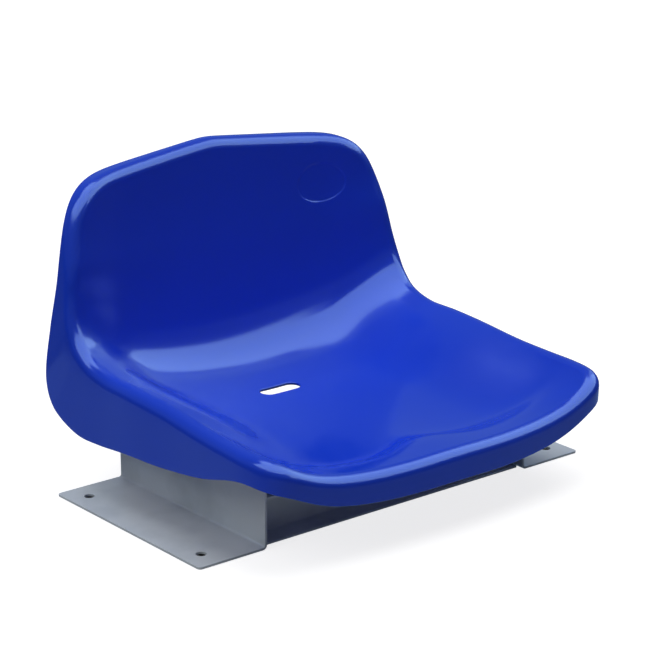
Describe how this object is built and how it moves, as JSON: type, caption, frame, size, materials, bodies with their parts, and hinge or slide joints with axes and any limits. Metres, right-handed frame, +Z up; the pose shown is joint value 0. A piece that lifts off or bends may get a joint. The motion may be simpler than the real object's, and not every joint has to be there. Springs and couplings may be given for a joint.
{
  "type": "stadium seat",
  "caption": "Low-back moulded bucket seat with a rolled rim, deep side skirts and a drain slot, bolted to a welded floor base of folded sheet brackets and channel rails.",
  "frame": {"origin": "on the floor under the middle of the whole seat", "axes": "+X to the right as seen from in front of the seat, towards the picture's right; the sitter faces -Y; +Z up"},
  "size_m": [0.51, 0.4228, 0.3306],
  "materials": {
    "shell_plastic": "glossy royal blue moulded polypropylene",
    "base_steel": "satin pale grey paint on folded sheet steel",
    "weld_bead": "satin pale grey paint over a rippled weld bead",
    "zinc_steel": "bright zinc plated steel",
    "insert_brass": "plain turned brass"
  },
  "bodies": {
    "root": {"seat_shell": "shell_plastic", "left_bracket": "base_steel", "right_bracket": "base_steel", "front_rail": "base_steel", "rear_rail": "base_steel", "left_front_web_weld": "weld_bead", "left_front_flange_weld": "weld_bead", "left_rear_web_weld": "weld_bead", "left_rear_flange_weld": "weld_bead", "right_front_web_weld": "weld_bead", "right_front_flange_weld": "weld_bead", "right_rear_web_weld": "weld_bead", "right_rear_flange_weld": "weld_bead", "left_front_bolt": "zinc_steel", "left_front_spring_washer": "zinc_steel", "left_front_flat_washer": "zinc_steel", "left_front_insert": "insert_brass", "left_rear_bolt": "zinc_steel", "left_rear_spring_washer": "zinc_steel", "left_rear_flat_washer": "zinc_steel", "left_rear_insert": "insert_brass", "right_front_bolt": "zinc_steel", "right_front_spring_washer": "zinc_steel", "right_front_flat_washer": "zinc_steel", "right_front_insert": "insert_brass", "right_rear_bolt": "zinc_steel", "right_rear_spring_washer": "zinc_steel", "right_rear_flat_washer": "zinc_steel", "right_rear_insert": "insert_brass"}
  },
  "joints": []
}
